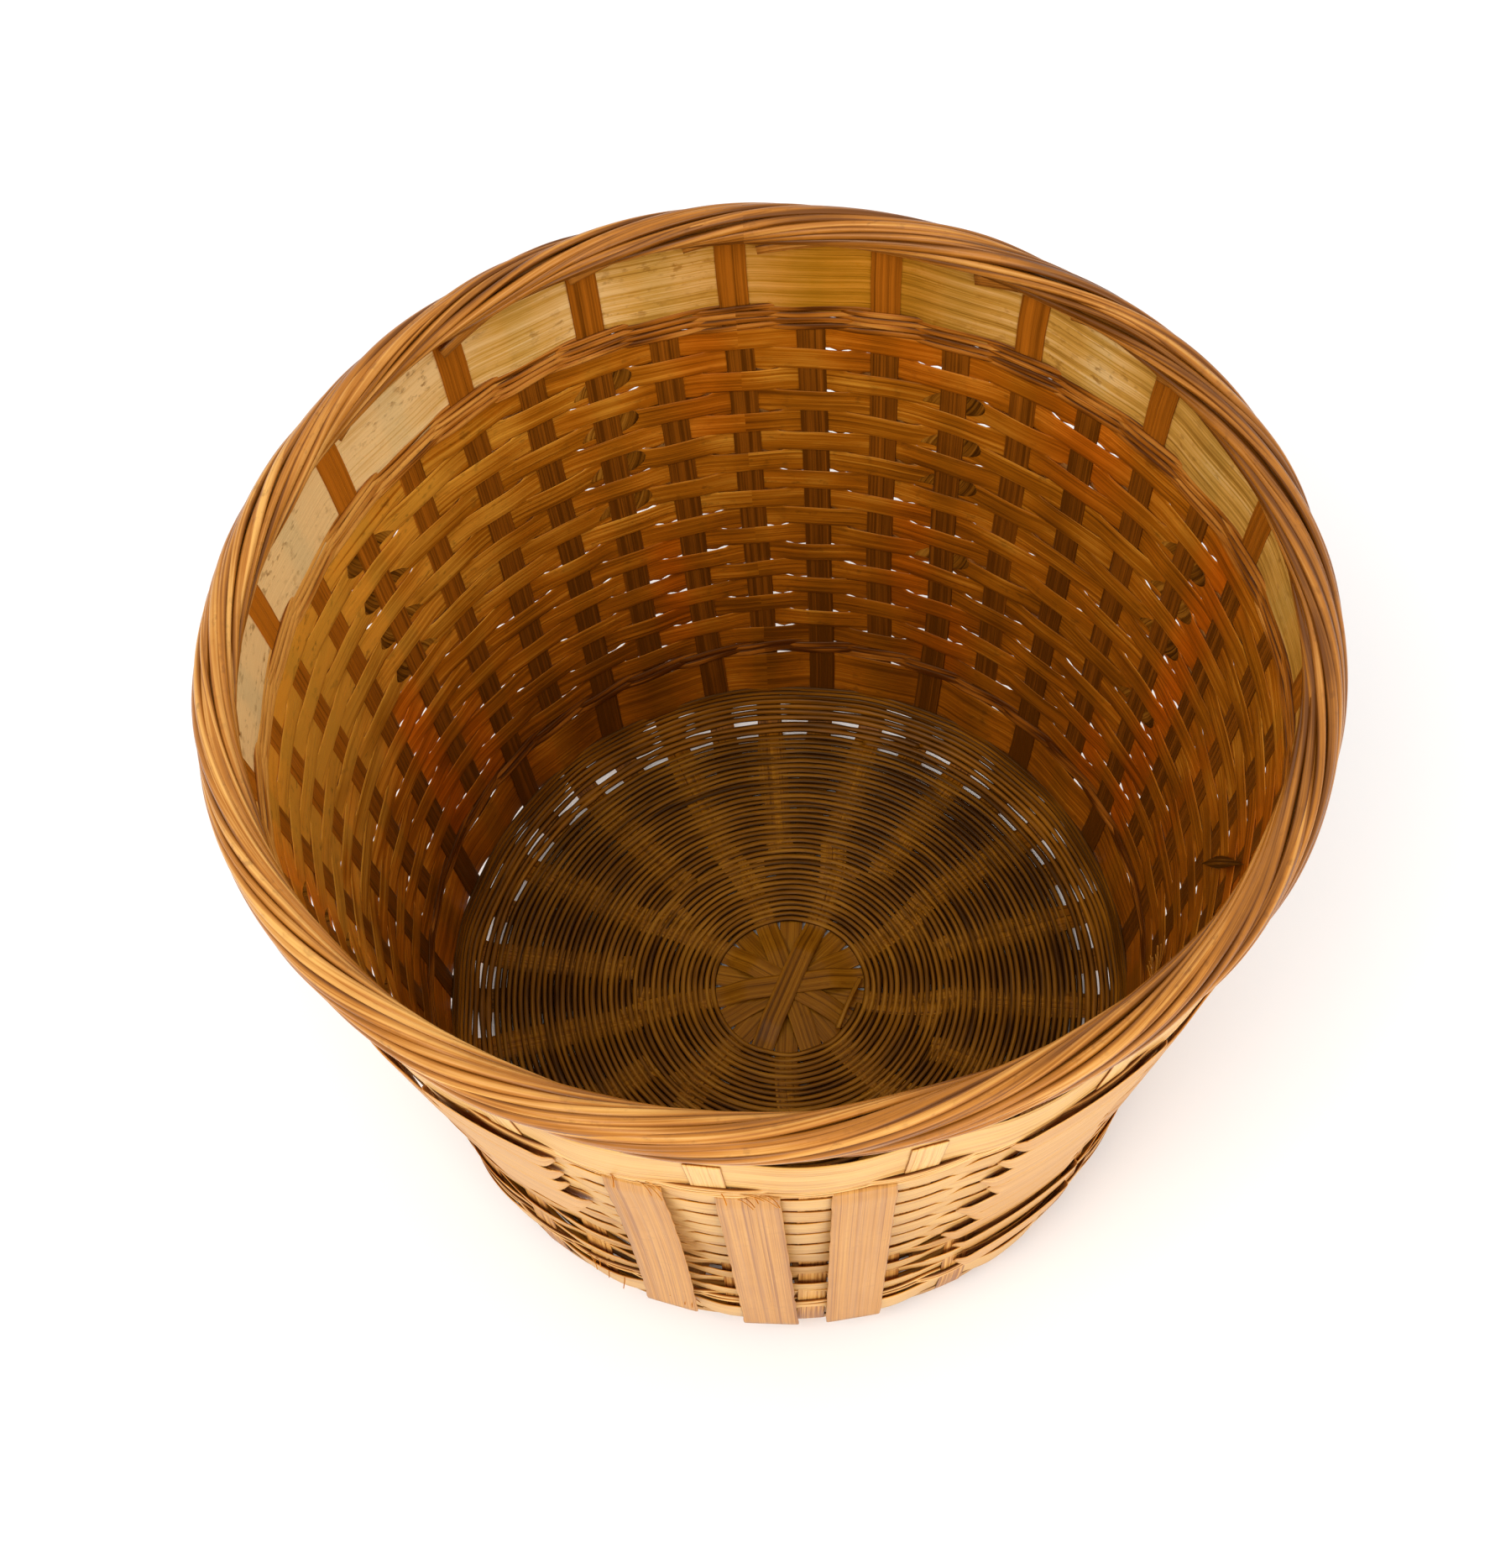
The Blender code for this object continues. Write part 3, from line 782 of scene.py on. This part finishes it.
def zone_share(angle, height, zones):
    """The strongest of these zones here."""
    total = np.zeros(len(angle))
    for middle, half, low, high, amount in zones:
        upright = smooth_step(height, low * MM - ZONE_FADE_OUTSIDE, low * MM + ZONE_FADE_INSIDE)
        top = high * MM
        upright = upright * (1 - smooth_step(height, top - ZONE_FADE_INSIDE, top + ZONE_FADE_OUTSIDE))
        total = np.maximum(total, amount * around(angle, middle, half) * upright)
    return total


def painted_side_light(angle, height):
    """Painted light and shade on the wall: lighter on the left, most of all near the rim, lighter at the
    front, most of all low down, and a little darker at the right.
    """
    left = 0.03 + 0.53 * smooth_step(height, 0.045, 0.140)
    front = (0.36 - 0.24 * smooth_step(height, 0.030, 0.065)) * around(angle, FRONT, 52)
    return left * around(angle, -80, 36) + front - 0.03 * around(angle, 90, 60)


def weave_wave(place, inside_even):
    """1 where the strand passes inside a stake and -1 where it passes outside one."""
    wave = np.cos(pi * place) * (1 if inside_even else -1)
    return wave * (1.28 - 0.28 * wave * wave)


def add_ring(strands, height, width, thickness, inside_even, inside, outside, slip=0.18 * MM,
             swell=0.3 * MM, behind=0, rise=0, section=FLAT_SECTION, tone=0.5, tone_size=0.06, warm=1,
             edge_dirt=0, edge_light=0, twist=0):
    """A ring woven between the stakes; twist lets it climb over its partner in a twined row."""
    random = strands.random
    place = ring_places()
    angle = stake_angle(place, height)
    wave = weave_wave(place, inside_even)
    tight = around(angle, 92, 34) + around(angle, -92, 34)
    level = height + rise + drift(angle, height) + wander(random, 2, 30, slip)(angle)
    level = level + twist * np.sin(pi * place) * (1 if inside_even else -1)
    swing = (inside - outside) / 2 * wave * (1 - 0.35 * tight)
    lift = (inside + outside) / 2 + swing + bulge(angle, height)
    lift = lift + wander(random, 10, 50, 0.05 * MM)(angle)
    points, normals = surface(angle, wall_distance(level), lift)
    widths = (width + swell * np.abs(wave)) * (1 + wander(random, 3, 20, 0.012)(angle))
    if behind:
        front = around(angle, FRONT, 60)
        widths = widths + 0.6 * MM * front
        hidden = 1 + wander(random, 5, 40, 0.10)(angle) + 0.30 * tight + 0.80 * front
        missing = zone_share(angle, height, OPEN_ZONES) * MM * smooth_step(-wave, 0.50, 0.80)
        widths = widths + behind * hidden * smooth_step(-wave, 0, 0.6) - missing
    tones = tone + wander(random, 1, 36, tone_size)(angle) + random.uniform(-0.06, 0.06)
    # Painted light and shade by side of the basket.
    tones = tones + painted_side_light(angle, height)
    # Painted glow: orange where light shines through the weave.
    warmth = warm * zone_share(angle, height, GLOW_ZONES)
    strands.add(points, normals, widths, thickness, section, True, tones, warmth, edge_dirt=edge_dirt,
                edge_light=edge_light)


def row_height(row):
    """Height of a weaver: the rows are packed a little tighter low on the wall."""
    sag = ROW_SAG * sin(pi * row / (WEAVER_COUNT - 1))
    return WEAVER_FIRST_HEIGHT + row * WEAVER_PITCH - sag


def add_weavers(material):
    """The flat weavers, paler towards the rim: painted shade darkens the lower rows, deeper in the basket.
    """
    for row in range(WEAVER_COUNT):
        strands = Strands(300 + row)
        share = row / (WEAVER_COUNT - 1)
        pitch = WEAVER_PITCH - ROW_SAG * pi / (WEAVER_COUNT - 1) * cos(pi * share)
        # Painted shade: lower rows darker.
        tone = 0.38 + 0.17 * share ** 1.2
        add_ring(strands, row_height(row), 0.965 * pitch, 0.42 * MM, row % 2 == 0, 0.50 * MM, -0.54 * MM,
                 swell=-0.25 * MM, behind=3 * MM, tone=tone, edge_dirt=0.14, edge_light=0.22)
        name = f"weaver_row_{row + 1:02d}"
        make_piece(name, strands, material, [f"weaver_{row + 1:02d}"])


def golden(angle):
    """The pale band is golden at the back and again at the right."""
    return np.clip(1.05 * around(angle, 12, 18) + 0.6 * around(angle, 97, 12), 0, 1)


def add_foot_band(material):
    """The wide splint round the foot of the wall."""
    strands = Strands(41)
    add_ring(strands, FOOT_BAND_HEIGHT, 18.6 * MM, 0.5 * MM, True, 0.62 * MM, -0.7 * MM, tone=0.42,
             warm=0.3, edge_dirt=0.12, edge_light=0.15)
    make_piece("foot_band", strands, material, ["bottom_band"])


def add_top_band(material):
    """The wide pale splint under the rim, painted lighter at the left and a little darker at the right:
    painted light and shade.
    """
    strands = Strands(42)
    angle = stake_angle(ring_places(), TOP_BAND_HEIGHT)
    front = around(angle, FRONT, 62)
    # Painted light at the left and painted shade at the right of the band.
    painted_light_tone = 0.55 + 0.32 * around(angle, -78, 42) - 0.09 * around(angle, 68, 28)
    add_ring(strands, TOP_BAND_HEIGHT, (28 + 1.8 * front) * MM, 0.6 * MM, False, 0.66 * MM, -0.8 * MM,
             rise=(1.25 + 0.85 * front) * MM, tone=painted_light_tone, tone_size=0.04, warm=0, edge_dirt=0.08)
    strands.values["warmth"] = [np.repeat(golden(angle), len(FLAT_SECTION))]
    make_piece("pale_top_band", strands, material, ["top_band"])


def add_twinings(material):
    """Rows of two fine reeds that cross between the stakes, one inside and one outside each stake."""
    rows = (
        ("lower_twined_reed", "lower_twining", (0.0331, 0.0354), 2.45, 0.30),
        ("upper_twined_reed", "upper_twining", (0.1690, 0.1711, 0.1733, 0.1755), 1.90, 0.52),
    )
    for name, node, heights, width, tone in rows:
        strands = Strands(50 * len(heights))
        for height in heights:
            for inside_even in (True, False):
                add_ring(strands, height, width * MM, 0.9 * MM, inside_even, 0.62 * MM, -0.62 * MM,
                         slip=0.13 * MM, section=ROUND_SECTION, tone=tone, tone_size=0.12, warm=0.2,
                         edge_dirt=0.45, twist=0.26 * width * MM)
        make_piece(name, strands, material, [node])


def add_overlays(material, dark):
    """Wide splints outside the weave, each tucked round every fourth or fifth stake."""
    for number, (even_row, odd_row) in enumerate(OVERLAY_TUCK_ROWS):
        strands = Strands(500 + number)
        heights = [row_height(even_row if stake % 2 == 0 else odd_row) for stake in TUCK_STAKES]
        folds = list(zip(TUCK_STAKES, heights))
        for (stake, height), (next_stake, next_height) in zip(folds, folds[1:]):
            place = np.linspace(stake + 0.36, next_stake - 0.36, 70)
            share = (place - stake) / (next_stake - stake)
            level = height + (next_height - height) * smooth_step(share, 0, 1)
            angle = stake_angle(place, level)
            ends = np.minimum(place - stake, next_stake - place)
            lift = -(1.1 + 0.9 * smooth_step(ends, 0.36, 1.1)) * MM - 0.2 * MM * np.cos(2 * pi * place)
            width = (6 + 8.8 * smooth_step(ends, 0.3, 1)) * MM
            tone = 0.5 + strands.random.uniform(-0.08, 0.08)
            strands.add_on_wall(angle, level, lift, width, 0.6 * MM, tone=tone, edge_dirt=0.12)
        if number == 0:
            add_smooth_patches(strands)
        nodes = [f"overlay_splint_{number + 1}"]
        make_piece(f"overlay_{number + 1}", strands, material, nodes)
        tucks = Strands(strands.random)
        for stake, height in folds:
            add_tuck(tucks, stake, height)
        make_piece(f"overlay_tucks_{number + 1}", tucks, dark, nodes)


def add_smooth_patches(strands):
    """Overlay ends that lie edge to edge either side of the front strips and hide the weave."""
    random = strands.random
    for first, last, low_row, high_row in SMOOTH_PATCHES:
        for row in range(low_row, high_row + 1, 2):
            share = np.linspace(0, 1, 48)
            start = first + random.uniform(-2, 1.5)
            end = last + random.uniform(-2.5, 2)
            angle = np.radians(start + (end - start) * share)
            level = row_height(row) + 1.2 * MM * np.sin(pi * share) + random.uniform(-0.3, 0.3) * MM
            fullness = 1 - np.abs(2 * share - 1) ** 8
            lift = -(0.7 + 1.7 * smooth_step(fullness, 0.1, 0.9) + 0.10 * (row % 4) / 2) * MM
            width = (1 + 17 * fullness) * MM
            tone = 0.68 + random.uniform(-0.04, 0.04)
            strands.add_on_wall(angle, level, lift, width, 0.4 * MM, tone=tone)


def add_tuck(strands, stake, height):
    """The twisted fold of an overlay behind a stake: its leaf tips show on both sides."""
    lean = -1 if stake < -4 else 1
    offset = np.linspace(-TUCK_REACH, TUCK_REACH * 1.06, 33)
    reach = offset / TUCK_REACH
    place = stake + offset
    angle = stake_angle(place, height)
    pointed = np.clip(1 + lean * reach, 0, 1) ** 0.8
    blunt = np.clip(1 - np.clip(lean * reach / 1.07, 0, 1) ** 4, 0, 1) ** 0.5
    width = (0.3 + 7.2 * pointed * blunt) * MM
    slant = 2.2 * MM * np.sign(reach) * np.abs(reach) ** 2.2 * lean
    level = height + drift(angle, height) + slant + 0.2 * MM
    weaver_lift = -0.02 * MM - 0.52 * MM * weave_wave(offset, True)
    lift = weaver_lift + 0.34 * MM + bulge(angle, height)
    tone = 0.52 - 0.16 * lean * reach + strands.random.uniform(-0.05, 0.05)
    strands.add_on_wall(angle, level, lift, width, 0.18 * MM, tone=tone, warmth=0.3,
                        grain_turn=lean * radians(48), edge_dirt=0.15)


def add_front_strips(material):
    """Three upright strips; the left one has sprung away from the weave at its foot."""
    for number, (degrees, spring, width, foot) in enumerate(FRONT_STRIPS):
        strands = Strands(600 + number)
        share = np.linspace(0, 1, 60)
        height = foot + share * (STRIP_TOP - foot)
        loose = spring * (1 - share) ** 2
        angle = np.radians(degrees + 2 * loose)
        lift = -(1.7 + 7.2 * (1 - share) ** 1.4 + 0.5 * np.sin(pi * share) + 0.5 * loose) * MM
        lift = lift + 1 * MM * smooth_step(share, 0.94, 1)
        points, normals = straight_wall(angle, height, lift)
        ragged = 1 + 0.012 * wander(strands.random, 2, 12, 1)(share * 2 * pi)
        strands.add(points, normals, width * MM * ragged, 0.7 * MM, tone=0.47, edge_dirt=0.12)
        nodes = [f"front_strip_{number + 1}"]
        make_piece(f"front_splint_{number + 1}", strands, material, nodes)


def add_splinter(material, random):
    """A dark splinter caught in the right wall."""
    strands = Strands(random)
    share = np.linspace(0, 1, 40)
    angle = np.radians(97 + 10.5 * share)
    level = 0.098 + 0.044 * share
    lift = (1.3 + 1.2 * np.sin(pi * share)) * MM
    width = (0.3 + 3.4 * np.sin(pi * share) ** 1.5) * MM
    strands.add_on_wall(angle, level, lift, width, 0.3 * MM, tone=0.12, edge_dirt=0.1)
    make_piece("dark_splinter", strands, material, ["weaver_11"])


def add_frayed_fibres(material, random):
    """Fibres that have frayed off the weavers and the tops of the front strips."""
    strands = Strands(random)
    for middle, base, count, length in FRAYED_PLACES:
        side = 1 if middle > 0 else -1
        for _ in range(count):
            share = np.linspace(0, 1, 12)
            reach = random.uniform(0.5, 1) * length * MM
            slope = random.uniform(0.3, 1.3)
            start = radians(middle + random.uniform(-3, 3))
            angle = start - reach * np.cos(slope) * share / 0.125
            level = base + random.uniform(-4, 4) * MM + reach * np.sin(slope) * share
            lift = side * (0.9 + random.uniform(1, 4) * share ** 2) * MM
            strands.add_on_wall(angle, level, lift, 0.35 * MM, 0.25 * MM, REED_SECTION, tone=0.75)
    make_piece("frayed_fibres", strands, material, ["weaver_02"])


# ------ rim

def rim_middle(angle):
    """Radius and height of the roll's middle line: it sags inwards at the front."""
    front = around(angle, FRONT, 42)
    radius = RIM_RADIUS - 2.8 * MM * front + 1.2 * MM * around(angle, -100, 30)
    height = RIM_HEIGHT + 1.4 * MM * front + wander(np.random.default_rng(9), 2, 6, 0.5 * MM)(angle)
    return radius, height


def rim_painted_light(angle):
    """Painted light and shade on the rim: lighter at the front and on the left, a painted highlight at the
    near left, and darker at the right.
    """
    lit_front_and_left = 0.09 * around(angle, FRONT, 60) + 0.18 * around(angle, -85, 45)
    return lit_front_and_left + 0.10 * around(angle, -130, 25) - 0.11 * around(angle, 85, 50)


def rim_strand(strands, phase, spread, reach, width, thickness, tone, edge_dirt):
    """A reed that winds round the roll of the rim, all the way round the basket."""
    random = strands.random
    angle = 2 * pi * np.linspace(0, 1, RIM_SAMPLES, endpoint=False)
    wide = sum(around(angle, middle, half) for middle, half in RIM_WIDE_PLACES)
    turn = phase + spread * (1 + 0.30 * wide) + RIM_TURNS * angle
    turn = turn + wander(random, 2, 10, radians(5))(angle)
    fuller = 1 + 0.13 * around(angle, FRONT, 60)
    out = reach * fuller + wander(random, 3, 16, 0.26 * MM)(angle)
    radius, height = rim_middle(angle)
    path = polar(angle, radius + out * np.cos(turn), height - out * np.sin(turn))
    normals = polar(angle, np.cos(turn), 0)
    normals[:, 2] = -np.sin(turn)
    girth = width * fuller * (1 + wander(random, 3, 18, 0.07)(angle))
    # Painted light and shade round the rim.
    tones = tone + rim_painted_light(angle) + wander(random, 1, 24, 0.05)(angle)
    strands.add(path, normals, girth, thickness, ROUND_SECTION, True, tones, edge_dirt=edge_dirt)


def add_rim(material):
    """Bundles of reeds twisted round each other, each with a core inside it whose low tone paints shade
    into the gaps between the bundles.
    """
    for bundle in range(RIM_BUNDLES):
        strands = Strands(700 + bundle)
        random = strands.random
        phase = 2 * pi * bundle / RIM_BUNDLES
        for count in range(RIM_REEDS):
            spread = RIM_REED_STEP * (count - (RIM_REEDS - 1) / 2) + random.uniform(-0.06, 0.06)
            reach = (RIM_REED_REACH + random.uniform(-0.45, 0.40)) * MM
            width = random.uniform(2, 3.1) * MM
            tone = 0.5 + random.uniform(-0.12, 0.12)
            rim_strand(strands, phase, spread, reach, width, 2.2 * MM, tone, 0.5)
        # Cores with a low tone: painted shade in the gaps between bundles.
        for count in range(RIM_CORES):
            spread = RIM_CORE_STEP * (count - (RIM_CORES - 1) / 2)
            rim_strand(strands, phase, spread, RIM_CORE_REACH, 2.8 * MM, 2.4 * MM, 0.26, 0.3)
        make_piece(f"rim_reed_{bundle + 1}", strands, material, [f"rim_bundle_{bundle + 1}"])
    add_rim_ends(material)


def add_rim_ends(material):
    """Cut ends of rim reeds that hang below the roll on the inside."""
    strands = Strands(77)
    for degrees, length, fall in RIM_CUT_ENDS:
        share = np.linspace(0, 1, 14)
        angle = np.radians(degrees) - share * length * MM / 0.138
        height = 0.2052 - share * fall * MM
        width = strands.random.uniform(2.8, 3.8) * MM
        tone = 0.5 + strands.random.uniform(-0.1, 0.15)
        lift = (3.6 - 0.6 * share) * MM
        strands.add_on_wall(angle, height, lift, width, 0.8 * MM, tone=tone, edge_dirt=0.3)
    make_piece("rim_cut_ends", strands, material, ["rim_bundle_1"])


# ------ camera, lights and floor

def add_camera():
    """A camera that looks down into the basket from the front."""
    data = bpy.data.cameras.new("camera")
    camera = add_object("camera", data)
    data.sensor_width = SENSOR_WIDTH
    data.lens = LENS
    tilt = Matrix.Rotation(pi / 2 - CAMERA_PITCH, 4, "X")
    turn = Matrix.Rotation(-CAMERA_YAW, 4, "Z") @ tilt @ Matrix.Rotation(CAMERA_ROLL, 4, "Z")
    camera.matrix_world = Matrix.Translation(CAMERA_PLACE) @ turn
    bpy.context.scene.camera = camera


def add_area_light(name, place, target, size, power, colour):
    """A round soft light aimed at a point."""
    data = bpy.data.lights.new(name, "AREA")
    data.shape = "DISK"
    data.size = size
    data.energy = power
    data.color = colour
    light = add_object(name, data)
    light.location = place
    light.rotation_euler = (Vector(target) - Vector(place)).to_track_quat("-Z", "Y").to_euler()


def add_lights():
    """A large window light from the front left, a weaker fill and an even white surround."""
    add_area_light("window", (-0.9, -1.1, 2.1), (0, 0, 0.12), 1.3, 22, (1, 0.985, 0.96))
    add_area_light("fill", (0.9, -1.7, 0.9), (0, 0, 0.10), 1.4, 14, (1, 0.98, 0.96))
    world = bpy.data.worlds.new("studio")
    world.use_nodes = True
    background = world.node_tree.nodes["Background"]
    background.inputs["Color"].default_value = (1, 1, 1, 1)
    background.inputs["Strength"].default_value = 1
    bpy.context.scene.world = world
    bpy.context.scene.view_settings.view_transform = "Standard"


def add_stage():
    """The pale floor that the basket stands on."""
    mesh = bpy.data.meshes.new("stage_floor")
    corners = [(-1, -1), (1, -1), (1, 1), (-1, 1)]
    mesh.from_pydata([(STAGE_HALF * x, STAGE_HALF * y, 0) for x, y in corners], [], [(0, 1, 2, 3)])
    material = bpy.data.materials.new("pale_stage")
    material.use_nodes = True
    shader = material.node_tree.nodes["Principled BSDF"]
    shader.inputs["Base Color"].default_value = (0.93, 0.93, 0.93, 1)
    shader.inputs["Roughness"].default_value = 0.9
    mesh.materials.append(material)
    stage = add_object("stage_floor", mesh)


# ------ assembly

def build_basket():
    """Every part of the basket, from the floor up."""
    stake_wood = stake_material()
    floor_wood = floor_material()
    weaver_wood = weaver_material()
    outside_wood = outside_material()
    tuck_wood = tuck_material()
    for number in range(SPOKE_COUNT // 2):
        add_floor_splint(number, stake_wood)
    for number in range(SPOKE_COUNT):
        add_side_stake(number, stake_wood)
    add_floor_weave(floor_wood)
    add_foot_band(weaver_wood)
    add_top_band(band_material())
    add_twinings(twined_material())
    add_weavers(weaver_wood)
    add_overlays(outside_wood, tuck_wood)
    add_front_strips(outside_wood)
    loose_random = np.random.default_rng(88)
    add_splinter(tuck_wood, loose_random)
    add_frayed_fibres(weaver_wood, loose_random)
    add_rim(rim_material())


add_camera()
add_lights()
add_stage()
build_basket()
